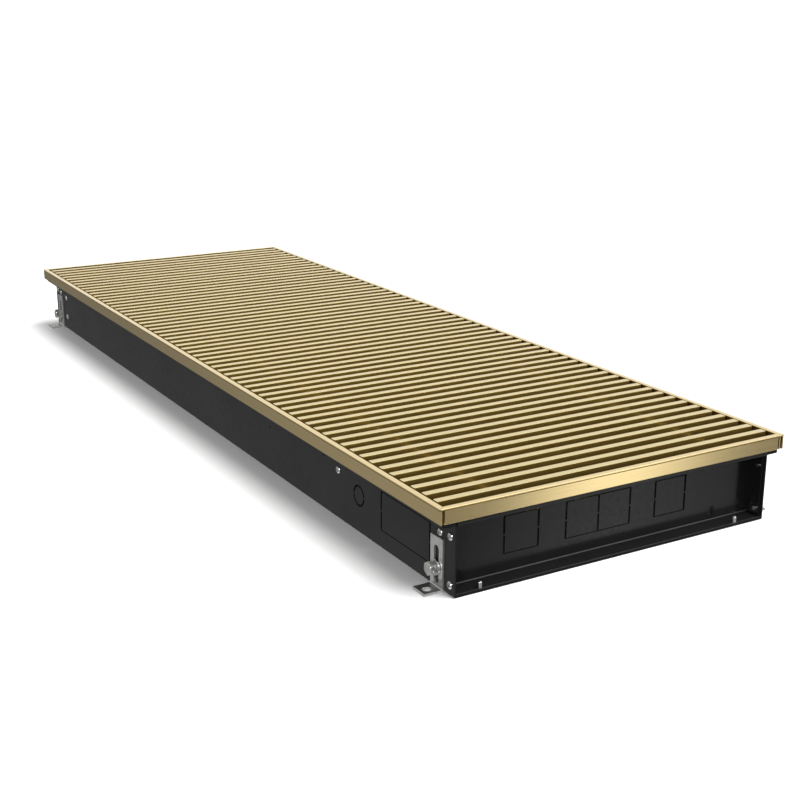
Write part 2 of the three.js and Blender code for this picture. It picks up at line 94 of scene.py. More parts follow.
# ------------------------------------------------------------------ materials
class Graph:
    """A material's nodes, with its texture coordinates in metres of the part."""

    def __init__(self, name):
        self.material = bpy.data.materials.new(name)
        self.material.use_nodes = True
        self.tree = self.material.node_tree
        self.tree.nodes.clear()
        self.out = self.add("ShaderNodeOutputMaterial")
        self.bsdf = self.add("ShaderNodeBsdfPrincipled")
        self.link(self.bsdf.outputs["BSDF"], self.out.inputs["Surface"])
        self.where = self.add("ShaderNodeTexCoord").outputs["Object"]

    def add(self, kind, **values):
        node = self.tree.nodes.new(kind)
        for key, value in values.items():
            setattr(node, key, value)
        return node

    def link(self, a, b):
        self.tree.links.new(a, b)

    def scaled(self, scale):
        m = self.add("ShaderNodeMapping")
        m.inputs["Scale"].default_value = scale
        self.link(self.where, m.inputs["Vector"])
        return m.outputs["Vector"]

    def noise(self, scale, detail=3.0, stretch=(1, 1, 1), roughness=0.55):
        n = self.add("ShaderNodeTexNoise")
        n.inputs["Scale"].default_value = scale
        n.inputs["Detail"].default_value = detail
        n.inputs["Roughness"].default_value = roughness
        self.link(self.scaled(stretch), n.inputs["Vector"])
        return n.outputs["Fac"]

    def cells(self, scale):
        n = self.add("ShaderNodeTexVoronoi")
        n.inputs["Scale"].default_value = scale
        self.link(self.where, n.inputs["Vector"])
        return n.outputs["Color"]

    def spread(self, value, low, high, from_low=0.3, from_high=0.7):
        n = self.add("ShaderNodeMapRange")
        self.link(value, n.inputs["Value"])
        n.inputs["From Min"].default_value = from_low
        n.inputs["From Max"].default_value = from_high
        n.inputs["To Min"].default_value = low
        n.inputs["To Max"].default_value = high
        return n.outputs["Result"]

    def colours(self, value, stops):
        n = self.add("ShaderNodeValToRGB")
        ramp = n.color_ramp
        while len(ramp.elements) < len(stops):
            ramp.elements.new(0.5)
        for element, (at, colour) in zip(ramp.elements, stops):
            element.position = at
            element.color = (*colour, 1)
        self.link(value, n.inputs["Fac"])
        return n.outputs["Color"]

    def bump(self, height, strength, distance, under=None):
        n = self.add("ShaderNodeBump")
        n.inputs["Strength"].default_value = strength
        n.inputs["Distance"].default_value = distance
        self.link(height, n.inputs["Height"])
        if under is not None:
            self.link(under, n.inputs["Normal"])
        return n.outputs["Normal"]

    def set(self, name, value):
        socket = self.bsdf.inputs[name]
        if hasattr(value, "links") or isinstance(value, bpy.types.NodeSocket):
            self.link(value, socket)
        else:
            socket.default_value = value


def powder_coat(name, shade, rough, level):
    g = Graph(name)
    cloud = g.noise(18, 4)
    g.set(
        "Base Color",
        g.colours(cloud, [(0.3, (shade * 0.87,) * 3), (0.7, (shade * 1.13,) * 3)]),
    )
    g.set("Roughness", g.spread(g.noise(260, 2), *rough))
    peel = g.bump(g.noise(700, 2), 0.02, 0.00012)
    g.set("Normal", g.bump(g.noise(2600, 2), 0.02, 0.00006, peel))
    g.set("Specular IOR Level", level)
    return g.material


def gold(name, along, tint=(1.0, 1.0, 1.0), rough=(0.20, 0.27)):
    g = Graph(name)
    fine = tuple(22 if a == along else 4200 for a in "xyz")
    wide = tuple(5 if a == along else 700 for a in "xyz")
    lines = g.noise(1.0, 3, fine)
    bands = g.noise(1.0, 2, wide)
    base = [c * t for c, t in zip((0.75, 0.60, 0.30), tint)]
    g.set(
        "Base Color",
        g.colours(
            bands,
            [
                (0.3, [c * 0.965 for c in base]),
                (0.55, base),
                (0.75, [min(1, c * 1.03) for c in base]),
            ],
        ),
    )
    g.set("Metallic", 1.0)
    g.set("Roughness", g.spread(lines, *rough))
    g.set("Normal", g.bump(lines, 0.07, 0.00003))
    return g.material


def zinc(name, level, metallic, rough):
    g = Graph(name)
    patch = g.noise(160, 4)
    g.set(
        "Base Color",
        g.colours(
            patch,
            [
                (0.3, (0.80 * level, 0.80 * level, 0.775 * level)),
                (0.55, (0.93 * level, 0.93 * level, 0.90 * level)),
                (0.75, (1.0 * level, 1.0 * level, 0.97 * level)),
            ],
        ),
    )
    g.set("Metallic", metallic)
    g.set("Roughness", g.spread(g.noise(900, 3), *rough))
    g.set("Normal", g.bump(g.noise(1500, 3), 0.10, 0.00006))
    return g.material


def steel(name, low, high, rough):
    g = Graph(name)
    scratch = g.noise(1.0, 3, (900, 900, 3000))
    g.set(
        "Base Color",
        g.colours(scratch, [(0.3, (low, low, low * 0.99)), (0.7, (high, high, high * 0.99))]),
    )
    g.set("Metallic", 1.0)
    g.set("Roughness", g.spread(scratch, *rough))
    g.set("Normal", g.bump(scratch, 0.08, 0.00005))
    return g.material


def copper():
    g = Graph("copper_tube")
    stain = g.noise(35, 5, (0.5, 1, 1))
    g.set(
        "Base Color",
        g.colours(
            stain,
            [
                (0.3, (0.46, 0.19, 0.10)),
                (0.5, (0.72, 0.34, 0.20)),
                (0.75, (0.82, 0.44, 0.28)),
            ],
        ),
    )
    g.set("Metallic", 1.0)
    g.set("Roughness", g.spread(stain, 0.42, 0.24))
    g.set("Normal", g.bump(g.noise(1.0, 2, (40, 1600, 1600)), 0.08, 0.00005))
    return g.material


def brass():
    g = Graph("brass")
    turned = g.noise(1.0, 3, (3000, 300, 300))
    g.set(
        "Base Color",
        g.colours(turned, [(0.3, (0.38, 0.29, 0.13)), (0.7, (0.52, 0.41, 0.21))]),
    )
    g.set("Metallic", 1.0)
    g.set("Roughness", g.spread(turned, 0.2, 0.36))
    g.set("Normal", g.bump(turned, 0.10, 0.00006))
    return g.material


def fin_aluminium():
    g = Graph("fin_aluminium")
    rolled = g.noise(1.0, 3, (60, 60, 1800))
    g.set(
        "Base Color",
        g.colours(rolled, [(0.3, (0.66, 0.67, 0.68)), (0.7, (0.80, 0.81, 0.82))]),
    )
    g.set("Metallic", 1.0)
    g.set("Roughness", g.spread(rolled, 0.28, 0.44))
    g.set("Normal", g.bump(rolled, 0.10, 0.00006))
    return g.material


def galvanised():
    g = Graph("galvanised_steel")
    spangle = g.add("ShaderNodeRGBToBW")
    g.link(g.cells(150), spangle.inputs["Color"])
    flake = spangle.outputs["Val"]
    g.set(
        "Base Color",
        g.colours(flake, [(0.2, (0.44, 0.45, 0.46)), (0.8, (0.64, 0.65, 0.66))]),
    )
    g.set("Metallic", 1.0)
    g.set("Roughness", g.spread(flake, 0.34, 0.52, 0.2, 0.8))
    g.set("Normal", g.bump(g.noise(900, 3), 0.10, 0.00008))
    return g.material


def rubber():
    g = Graph("rubber")
    cloud = g.noise(240, 4)
    g.set(
        "Base Color",
        g.colours(cloud, [(0.3, (0.012, 0.012, 0.012)), (0.7, (0.022, 0.022, 0.021))]),
    )
    g.set("Roughness", g.spread(cloud, 0.7, 0.86))
    g.set("Normal", g.bump(g.noise(1800, 3), 0.25, 0.0001))
    return g.material


COAT = powder_coat("black_powder_coat", 0.0055, (0.18, 0.24), 0.35)
# The trough's copy of the black coat is lighter than the panels' to make up for the dimmer light on its long walls:
# painted light.
COAT_TROUGH_PAINTED_LIGHT = powder_coat("black_powder_coat_trough_painted_light", 0.020, (0.34, 0.43), 0.21)
# A lighter copy of the black coat for the bend at the foot of each end panel: a painted highlight line.
COAT_PAINTED_HIGHLIGHT = powder_coat("black_powder_coat_painted_highlight", 0.03, (0.16, 0.22), 0.28)
# A darker copy of the black coat for the trough's rim flanges under the frame's skirts: painted shade.
COAT_RIM_PAINTED_SHADE = powder_coat("black_powder_coat_rim_painted_shade", 0.006, (0.3, 0.4), 0.24)
# A darker copy of the black coat for the trough's floor and inner walls: painted shade inside the trough.
COAT_INNER_PAINTED_SHADE = powder_coat("black_powder_coat_inner_painted_shade", 0.007, (0.40, 0.50), 0.16)
# A near-black copy of the coat for the faces inside the knock-out cuts: painted shade.
COAT_CUT_PAINTED_SHADE = powder_coat("black_powder_coat_cut_painted_shade", 0.0015, (0.6, 0.7), 0.1)
FRAME_TINT = (1.08, 1.06, 1.06)
GOLD_X = gold("gold_anodised_x", "x", FRAME_TINT, (0.15, 0.20))
GOLD_Y = gold("gold_anodised_y", "y", FRAME_TINT, (0.12, 0.16))
GOLD_SLAT = gold("gold_anodised_slat", "y", (0.99, 1.02, 1.03), (0.20, 0.28))
# Darker, duller copies of the gold for the slats' sides, the frame's inner walls and the groove under the flange:
# painted shade.
GOLD_PAINTED_SHADE_X = gold("gold_anodised_painted_shade_x", "x", (0.34, 0.29, 0.16), (0.34, 0.44))
GOLD_PAINTED_SHADE_Y = gold("gold_anodised_painted_shade_y", "y", (0.34, 0.29, 0.16), (0.34, 0.44))
GOLD_SLAT_PAINTED_SHADE = gold("gold_anodised_slat_side_painted_shade", "y", (0.66, 0.57, 0.28), (0.40, 0.52))
ZINC = zinc("zinc_plate", 0.84, 0.86, (0.14, 0.22))
# A darker copy of the zinc for the top of each foot plate: painted shade, the dark reflection of the wall above.
ZINC_FOOT_PAINTED_SHADE = zinc("zinc_plate_foot_painted_shade", 0.27, 0.9, (0.3, 0.4))
BRIGHT = steel("bright_steel", 0.66, 0.82, (0.16, 0.3))
RIVET = steel("rivet_steel", 0.58, 0.72, (0.10, 0.17))
COPPER = copper()
BRASS = brass()
FIN = fin_aluminium()
GALV = galvanised()
RUBBER = rubber()


# ------------------------------------------------------------------ shapes
class Shape:
    """Vertices in mm and faces; shapes add up to one piece."""

    def __init__(self, verts=(), faces=()):
        self.verts = [tuple(v) for v in verts]
        self.faces = [tuple(f) for f in faces]

    def add(self, other):
        n = len(self.verts)
        self.verts += other.verts
        self.faces += [tuple(i + n for i in f) for f in other.faces]
        return self

    def moved(self, x=0, y=0, z=0):
        return Shape([(a + x, b + y, c + z) for a, b, c in self.verts], self.faces)

    def turned(self, matrix):
        return Shape([tuple(matrix @ Vector(v)) for v in self.verts], self.faces)


def together(shapes):
    total = Shape()
    for s in shapes:
        total.add(s)
    return total


def fillet(points, radii, steps=4):
    """A closed outline with its corners rounded."""
    out = []
    n = len(points)
    for i in range(n):
        p = Vector(points[i])
        r = radii[i] if isinstance(radii, (list, tuple)) else radii
        a, b = Vector(points[i - 1]) - p, Vector(points[(i + 1) % n]) - p
        la, lb = a.length, b.length
        a.normalize(), b.normalize()
        half = math.acos(max(-1, min(1, a.dot(b)))) / 2
        if r <= 0 or abs(half - math.pi / 2) < 1e-4:
            out.append((p.x, p.y))
            continue
        t = min(r / math.tan(half), 0.499 * la, 0.499 * lb)
        r = t * math.tan(half)
        centre = p + (a + b).normalized() * (r / math.sin(half))
        s, e = p + a * t - centre, p + b * t - centre
        turn = math.atan2(s.x * e.y - s.y * e.x, s.dot(e))
        for k in range(steps + 1):
            w = turn * k / steps
            out.append(
                (
                    centre.x + s.x * math.cos(w) - s.y * math.sin(w),
                    centre.y + s.x * math.sin(w) + s.y * math.cos(w),
                )
            )
    return out


def prism(axis, outline, a, b):
    """A bar of any section: its outline is in (y, z), (x, z) or (x, y)."""
    place = {
        "x": lambda p, t: (t, p[0], p[1]),
        "y": lambda p, t: (p[0], t, p[1]),
        "z": lambda p, t: (p[0], p[1], t),
    }[axis]
    n = len(outline)
    verts = [place(p, a) for p in outline] + [place(p, b) for p in outline]
    faces = [(i, (i + 1) % n, n + (i + 1) % n, n + i) for i in range(n)]
    faces += [tuple(range(n)), tuple(range(2 * n - 1, n - 1, -1))]
    return Shape(verts, faces)


def revolve(profile, n=48, flats=None, phase=0.0, closed=False):
    """Turns (height, radius) points round Z. A point given a third value is held inside a hexagon of that half width."""
    verts, faces, rings = [], [], []
    for point in profile:
        height, radius = point[0], point[1]
        limit = point[2] if len(point) > 2 else None
        if radius < 1e-6:
            rings.append([len(verts)])
            verts.append((0, 0, height))
            continue
        ring = []
        for k in range(n):
            w = 2 * math.pi * k / n + phase
            r = radius
            if limit is not None:
                off = (w - phase + math.pi / 6) % (math.pi / 3) - math.pi / 6
                r = min(r, limit / math.cos(off))
            ring.append(len(verts))
            verts.append((r * math.cos(w), r * math.sin(w), height))
        rings.append(ring)
    pairs = list(zip(rings, rings[1:]))
    if closed:
        pairs.append((rings[-1], rings[0]))
    for a, b in pairs:
        for k in range(n):
            j = (k + 1) % n
            if len(a) == 1 and len(b) == 1:
                continue
            if len(a) == 1:
                faces.append((a[0], b[j], b[k]))
            elif len(b) == 1:
                faces.append((a[k], a[j], b[0]))
            else:
                faces.append((a[k], a[j], b[j], b[k]))
    return Shape(verts, faces)


def sweep(path, radius, n=10, closed_ends=True):
    """A round bar along points."""
    pts = [Vector(p) for p in path]
    verts, faces = [], []
    side = None
    for i, p in enumerate(pts):
        ahead = (pts[min(i + 1, len(pts) - 1)] - pts[max(i - 1, 0)]).normalized()
        if side is None:
            side = ahead.orthogonal().normalized()
        side = (side - ahead * side.dot(ahead)).normalized()
        up = ahead.cross(side)
        for k in range(n):
            w = 2 * math.pi * k / n
            verts.append(tuple(p + side * (radius * math.cos(w)) + up * (radius * math.sin(w))))
    for i in range(len(pts) - 1):
        for k in range(n):
            j = (k + 1) % n
            faces.append((i * n + k, i * n + j, (i + 1) * n + j, (i + 1) * n + k))
    if closed_ends:
        faces.append(tuple(range(n - 1, -1, -1)))
        last = (len(pts) - 1) * n
        faces.append(tuple(range(last, last + n)))
    return Shape(verts, faces)


def rounded(x0, x1, y0, y1, z0, z1, r, steps=2, corner=0.0, top=None):
    """A block with rounded edges; corner rounds its upright edges more, and top its upper rim."""
    bm = bmesh.new()
    bmesh.ops.create_cube(bm, size=1.0)
    for v in bm.verts:
        v.co = Vector(
            (
                x0 if v.co.x < 0 else x1,
                y0 if v.co.y < 0 else y1,
                z0 if v.co.z < 0 else z1,
            )
        )
    if corner:
        upright = [
            e for e in bm.edges if abs(e.verts[0].co.z - e.verts[1].co.z) > 1e-6
        ]
        bmesh.ops.bevel(
            bm, geom=upright, offset=corner, segments=4, profile=0.5, affect="EDGES"
        )
        rims = [
            e
            for e in bm.edges
            if abs(e.verts[0].co.z - e.verts[1].co.z) < 1e-6
            and len({round(f.normal.z, 3) for f in e.link_faces}) > 1
        ]
        upper = [e for e in rims if e.verts[0].co.z > (z0 + z1) / 2]
        lower = [e for e in rims if e.verts[0].co.z < (z0 + z1) / 2]
        bmesh.ops.bevel(
            bm, geom=upper, offset=top or r, segments=steps, profile=0.5, affect="EDGES"
        )
        if r:
            lower = [e for e in lower if e.is_valid]
            bmesh.ops.bevel(
                bm, geom=lower, offset=r, segments=1, profile=0.5, affect="EDGES"
            )
    else:
        bmesh.ops.bevel(
            bm, geom=bm.edges[:], offset=r, segments=steps, profile=0.5, affect="EDGES"
        )
    bm.verts.index_update()
    made = Shape(
        [tuple(v.co) for v in bm.verts], [tuple(v.index for v in f.verts) for f in bm.faces]
    )
    bm.free()
    return made


def mesh_of(name, shape):
    mesh = bpy.data.meshes.new(name)
    mesh.from_pydata([[c * MM for c in v] for v in shape.verts], [], shape.faces)
    bm = bmesh.new()
    bm.from_mesh(mesh)
    bmesh.ops.remove_doubles(bm, verts=bm.verts, dist=1e-7)
    bmesh.ops.recalc_face_normals(bm, faces=bm.faces)
    bm.to_mesh(mesh)
    bm.free()
    return mesh


def piece(
    name, shape, material, body, nodes=(), cuts=(), smooth=35, bevel=0.0, zones=()
):
    """One finished piece on its body. Each shape in cuts is taken out of it.

    Each of the zones is a material, with a test of a face's normal and centre."""
    o = bpy.data.objects.new(name, mesh_of(name, shape))
    bpy.context.scene.collection.objects.link(o)
    tools = []
    for k, cut in enumerate(cuts):
        tool = bpy.data.objects.new(f"tool_{name}_{k}", mesh_of(f"tool_{name}_{k}", cut))
        bpy.context.scene.collection.objects.link(tool)
        m = o.modifiers.new(f"cut_{k}", "BOOLEAN")
        m.operation, m.solver, m.object = "DIFFERENCE", "EXACT", tool
        tools.append(tool)
    if bevel:
        m = o.modifiers.new("edges", "BEVEL")
        m.width, m.segments, m.limit_method = bevel * MM, 2, "ANGLE"
        m.angle_limit = math.radians(40)
    if o.modifiers:
        bpy.context.view_layer.update()
        graph = bpy.context.evaluated_depsgraph_get()
        done = bpy.data.meshes.new_from_object(o.evaluated_get(graph))
        o.modifiers.clear()
        o.data = done
    for tool in tools:
        bpy.data.objects.remove(tool)
    o.data.materials.clear()
    o.data.materials.append(material)
    for k, (other, test) in enumerate(zones, 1):
        o.data.materials.append(other)
        for face in o.data.polygons:
            if test(face.normal, face.center / MM):
                face.material_index = k
    o.data.shade_smooth()
    o.data.set_sharp_from_angle(angle=math.radians(smooth))
    # Flat faces keep their own normal beside a rounded edge.
    m = o.modifiers.new("even", "WEIGHTED_NORMAL")
    m.mode, m.weight, m.keep_sharp = "FACE_AREA", 90, True
    bpy.context.view_layer.update()
    graph = bpy.context.evaluated_depsgraph_get()
    done = bpy.data.meshes.new_from_object(
        o.evaluated_get(graph), preserve_all_data_layers=True, depsgraph=graph
    )
    o.modifiers.clear()
    o.data = done
    if body:
        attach(o, body)
    if nodes:
        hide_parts(*nodes)
    return o


HOUSING = "housing"


def knockout_slots(axis, span, heights, a, b):
    """The two C-shaped cuts round a knock-out, with a bridge half way up each side."""
    (p0, p1), (q0, q1) = span, heights
    h, mid, bridge = CUT_HALF, (q0 + q1) / 2, BRIDGE_HALF
    v = 0.42 * h
    made = []
    for lower in (False, True):
        edge, inner = (q0 - v, q0 + v) if lower else (q1 + v, q1 - v)
        stop = mid - bridge if lower else mid + bridge
        outline = [
            (p0 - h, stop),
            (p0 - h, edge),
            (p1 + h, edge),
            (p1 + h, stop),
            (p1 - h, stop),
            (p1 - h, inner),
            (p0 + h, inner),
            (p0 + h, stop),
        ]
        made.append(prism(axis, fillet(outline, [0.2, 1.2, 1.2, 0.2, 0.2, 0.5, 0.5, 0.2], 3), a, b))
    return together(made)


def round_slots(cx, cz, r, a, b):
    made = []
    for upper in (0, 1):
        start = math.asin(BRIDGE_HALF / r) + upper * math.pi
        end = math.pi - math.asin(BRIDGE_HALF / r) + upper * math.pi
        steps = 20
        outline = [
            (cx + (r + CUT_HALF) * math.cos(w), cz + (r + CUT_HALF) * math.sin(w))
            for w in (start + (end - start) * k / steps for k in range(steps + 1))
        ] + [
            (cx + (r - CUT_HALF) * math.cos(w), cz + (r - CUT_HALF) * math.sin(w))
            for w in (end + (start - end) * k / steps for k in range(steps + 1))
        ]
        made.append(prism("y", outline, a, b))
    return together(made)


def disc(cx, cy, r, n=24):
    return [
        (cx + r * math.cos(2 * math.pi * k / n), cy + r * math.sin(2 * math.pi * k / n))
        for k in range(n)
    ]


# ------------------------------------------------------------------ trough
section = [
    (-WALL_OUT, 0),
    (WALL_OUT, 0),
    (WALL_OUT, RIM_UNDER),
    (RIM_OUT, RIM_UNDER),
    (RIM_OUT, RIM_TOP),
    (WALL_IN, RIM_TOP),
    (WALL_IN, SHEET),
    (-WALL_IN, SHEET),
    (-WALL_IN, RIM_TOP),
    (-RIM_OUT, RIM_TOP),
    (-RIM_OUT, RIM_UNDER),
    (-WALL_OUT, RIM_UNDER),
]
bends = [0.9, 0.9, 0.6, 1.0, 0.7, 1.2, 0.4, 0.4, 1.2, 0.7, 1.0, 0.6]
trough_cuts = [
    together(
        [
            knockout_slots("y", *SIDE_KNOCKOUT, -WALL_OUT - 2, -WALL_IN + 2),
            round_slots(*ROUND_KNOCKOUT, -WALL_OUT - 2, -WALL_IN + 2),
            prism("y", disc(289.0, 48.7, 1.1), -WALL_OUT - 2, -WALL_IN + 2),
            prism("y", disc(180.0, 43.0, 1.1), -WALL_OUT - 2, -WALL_IN + 2),
        ]
    )
]
piece(
    "trough_shell",
    prism("x", fillet(section, bends, 5), -TROUGH_L, TROUGH_L),
    # Painted light: the trough's lighter copy of the black coat.
    COAT_TROUGH_PAINTED_LIGHT,
    HOUSING,
    ["trough"],
    cuts=trough_cuts,
    zones=[
        # Painted shade on the trough's floor and inner walls.
        (
            COAT_INNER_PAINTED_SHADE,
            lambda n, c: abs(c.y) < 154.2 and 1.0 < c.z < 57.0 and (n.z > 0.3 or n.y * c.y < 0),
        ),
        # Painted shade on the rim flanges under the skirts.
        (COAT_RIM_PAINTED_SHADE, lambda n, c: abs(c.y) > 155.5 and c.z > 57.0),
        # Painted shade on the faces inside the side knock-out cuts.
        (
            COAT_CUT_PAINTED_SHADE,
            lambda n, c: abs(n.y) < 0.5 and abs(c.y + 154.4) < 0.3 and 170 < c.x < 465,
        ),
    ],
)
sleeve = revolve(
    [(0, 3.05), (0, 4.0), (0.4, 4.4), (4.6, 4.4), (5.0, 4.0), (5.0, 3.05)], 32, closed=True
)
for at, sx, sy in CORNERS:
    turn = Matrix.Rotation(math.pi / 2 * (1 if sy > 0 else -1), 4, "X")
    piece(
        "nut_sleeve_" + at,
        sleeve.turned(turn).moved(sx * FOOT_X, sy * WALL_IN, BOLT_Z),
        ZINC,
        HOUSING,
    )

# ------------------------------------------------------------------ end panels
panel_section = [
    (PANEL_BACK, 1.5),
    (496.6, 1.5),
    (496.6, 2.7),
    (PANEL_X, 2.7),
    (PANEL_X, RIM_UNDER),
    (497.9, RIM_UNDER),
    (497.9, RIM_TOP),
    (PANEL_BACK, RIM_TOP),
]
panel_bends = [1.4, 0.35, 0.35, 0.8, 0.5, 0.7, 0.7, 1.4]
panel_cuts = [
    knockout_slots("x", span, PANEL_KNOCKOUT_Z, PANEL_BACK - 2, PANEL_X + 2)
    for span in PANEL_KNOCKOUTS
]
side_flange = [
    prism(
        "z",
        fillet(
            [
                (PANEL_BACK + 0.2, sy * 152.4),
                (494.7, sy * 152.4),
                (494.7, sy * 153.45),
                (PANEL_BACK + 0.2, sy * 153.45),
            ],
            [0.1, 0.3, 0.3, 1.0],
            3,
        ),
        4.0,
        RIM_UNDER - 0.6,
    )
    for sy in (-1, 1)
]
panel = prism("y", fillet(panel_section, panel_bends, 5), -PANEL_HALF, PANEL_HALF)
half_turn = Matrix.Rotation(math.pi, 4, "Z")
for end, turn in (("front", Matrix.Identity(4)), ("rear", half_turn)):
    piece(
        "end_panel_sheet_" + end,
        panel.turned(turn),
        COAT,
        HOUSING,
        ["end_panel_" + end],
        cuts=[cut.turned(turn) for cut in panel_cuts],
        zones=[
            # Painted shade on the faces inside the panel's knock-out cuts.
            (
                COAT_CUT_PAINTED_SHADE,
                lambda n, c: abs(n.x) < 0.5 and abs(abs(c.x) - 479.9) < 0.3 and 15 < c.z < 51,
            ),
            # Painted highlight: the bend at the foot of the panel gets the lighter coat.
            (
                COAT_PAINTED_HIGHLIGHT,
                lambda n, c: 480.5 < abs(c.x) < 481.4 and 2.7 < c.z < 3.6 and n.z > 0.1,
            ),
        ],
    )
    piece(
        "end_panel_flanges_" + end,
        together(side_flange).turned(turn),
        COAT,
        HOUSING,
    )


# ------------------------------------------------------------------ edge frame
def bar(outline, ends, place):
    """A bar whose two ends are cut where ends says for each point of its section."""
    n = len(outline)
    verts = [place(ends(k, u), u, z) for k in (0, 1) for u, z in outline]
    faces = [(i, (i + 1) % n, n + (i + 1) % n, n + i) for i in range(n)]
    faces += [tuple(range(n)), tuple(range(2 * n - 1, n - 1, -1))]
    return Shape(verts, faces)


def edge_profile(half, skirt, wall, place):
    """A flange mitred at its ends, over a skirt and an inner wall that are cut square."""
    flange = fillet([(0, 72.9), (0, TOP), (5.1, TOP), (5.1, 72.4), (2.4, 72.4), (2.2, 72.9)],
        [0.15, 0.35, 0.35, 0.2, 0, 0], 4)
    inner = fillet([(3.6, 61.5), (5.1, 61.5), (5.1, 72.6), (3.6, 72.6)], [0.3, 0.3, 0, 0], 3)
    outer = fillet(
        [(0.5, 61.4), (2.0, 61.4), (2.0, 73.1), (1.4, 73.1), (1.4, 72.2), (0.5, 72.2)],
        [0.3, 0.3, 0, 0, 0.1, 0.15],
        3,
    )
    return together(
        [
            bar(flange, lambda k, u: (2 * k - 1) * (half - 0.2 - u), place),
            bar(inner, lambda k, u: wall[k], place),
            bar(outer, lambda k, u: skirt[k], place),
        ]
    )


LONG = (FRAME_L, (-499.5, 499.5), (-499.3, 497.8))
SHORT = (FRAME_W, (-165.8, 163.6), (-164.6, 164.6))
for name, sizes, material, gold_painted_shade, place in (
    ("left", LONG, GOLD_X, GOLD_PAINTED_SHADE_X, lambda s, u, z: (s, -FRAME_W + u, z)),
    ("right", LONG, GOLD_X, GOLD_PAINTED_SHADE_X, lambda s, u, z: (-s, FRAME_W - u, z)),
    ("front", SHORT, GOLD_Y, GOLD_PAINTED_SHADE_Y, lambda s, u, z: (FRAME_L - u, s, z)),
    ("rear", SHORT, GOLD_Y, GOLD_PAINTED_SHADE_Y, lambda s, u, z: (-FRAME_L + u, -s, z)),
):
    piece(
        "edge_profile_" + name,
        edge_profile(*sizes, place),
        material,
        HOUSING,
        ["frame_profile_" + name],
        smooth=40,
        zones=[
            # Painted shade on the frame's inner faces and the groove under the flange.
            (
                gold_painted_shade,
                lambda n, c: n.z < 0.5
                and (
                    (c.z < 73.6 and abs(c.x) < 498.5 and abs(c.y) < 168.5)
                    or 72.25 < c.z < 73.0
                ),
            )
        ],
    )

for side, sy in (("left", -1), ("right", 1)):
    ribs = [(-4.2, 61.5)]
    for k in range(5):
        y = -4.2 + 8.4 * k / 5
        ribs += [(y + 0.25, 63.1), (y + 0.55, 63.6), (y + 1.15, 63.6), (y + 1.45, 63.1)]
    ribs += [(4.2, 61.5)]
    piece(
        "rest_strip_" + side,
        prism("x", [(sy * 158.6 + a, b) for a, b in ribs], -488, 488),
        RUBBER,
        HOUSING,
        ["grille_rest_strip_" + side],
    )

# ------------------------------------------------------------------ roll-up grille
head = rounded(
    -SLAT_W, SLAT_W, -SLAT_HALF, SLAT_HALF, SLAT_UNDER, TOP, 0.15, 3, corner=0.9, top=0.24
)
web = rounded(-1.5, 1.5, -SLAT_HALF + 0.4, SLAT_HALF - 0.4, 63.9, SLAT_UNDER + 0.2, 0.2, 1)
slat = together([head, web])


def spring(x0, x1, y, z=SPRING_Z, radius=2.1, wire=0.5, pitch=2.0):
    turns = (x1 - x0) / pitch
    steps = max(4, int(turns * 12))
    path = []
    for k in range(steps + 1):
        w = 2 * math.pi * turns * k / steps
        path.append(
            (x0 + (x1 - x0) * k / steps, y + radius * math.cos(w), z + radius * math.sin(w))
        )
    return sweep(path, wire, 6)


def slat_x(i):
    return (i - (SLATS - 1) / 2) * PITCH


first = 0
for number, count in enumerate(SECTIONS, 1):
    start, end = slat_x(first), slat_x(first + count - 1)
    body = f"grille_{number}"
    piece(
        f"slats_{number}",
        together([slat.moved(x=start + i * PITCH) for i in range(count)]),
        GOLD_SLAT,
        body,
        [f"grille_section_{number}"],
        smooth=30,
        # Painted shade on the slats' sides and undersides.
        zones=[(GOLD_SLAT_PAINTED_SHADE, lambda n, c: n.z < 0.35)],
    )
    for side, sy in (("left", -1), ("right", 1)):
        piece(
            f"spring_{number}_{side}",
            spring(start, end, sy * SPRING_Y),
            BRIGHT,
            body,
        )
    if number < len(SECTIONS):
        for side, sy in (("left", -1), ("right", 1)):
            joint_spring = piece(
                f"fold_spring_{number}_{side}",
                spring(end + 1.0, end + PITCH - 1.0, sy * SPRING_Y),
                BRIGHT,
                None,
            )
            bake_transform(joint_spring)
    first += count

# ------------------------------------------------------------------ coil
fins = Shape()
FIN_PITCH, FIN_THICK, WAVES = 5.04, 0.3, 22
count = int(round((FIN_X[1] - FIN_X[0]) / FIN_PITCH))
for i in range(count + 1):
    x = FIN_X[0] + 0.3 + (FIN_X[1] - FIN_X[0] - 0.6) * i / count
    verts, faces = [], []
    for k in range(WAVES + 1):
        y = COIL_Y - 55 + 110 * k / WAVES
        swing = 0.0 if i in (0, count) else (0.45 if k % 2 else -0.45)
        for dx in (-FIN_THICK / 2, FIN_THICK / 2):
            for z in (6.0, 52.0):
                verts.append((x + swing + dx, y, z))
    for k in range(WAVES):
        a, b = 4 * k, 4 * (k + 1)
        faces += [
            (a, b, b + 1, a + 1),
            (a + 2, a + 3, b + 3, b + 2),
            (a, a + 2, b + 2, b),
            (a + 1, b + 1, b + 3, a + 3),
        ]
    faces += [(0, 1, 3, 2), (4 * WAVES, 4 * WAVES + 2, 4 * WAVES + 3, 4 * WAVES + 1)]
    fins.add(Shape(verts, faces))
to_x = Matrix.Rotation(math.pi / 2, 4, "Y")
for y in TUBE_Y:
    rings = []
    for i in range(count):
        x = FIN_X[0] + 0.6 + (FIN_X[1] - FIN_X[0] - 1.2) * i / count
        rings += [(x, 8.7), (x + 1.0, 8.1), (x + FIN_PITCH - 0.6, 8.1)]
    rings.append((FIN_X[1] - 0.2, 8.7))
    collar = [(h, r) for h, r in rings] + [(FIN_X[1] - 0.2, 7.6), (FIN_X[0] + 0.6, 7.6)]
    fins.add(revolve(collar, 20, closed=True).turned(to_x).moved(y=y, z=TUBE_Z))
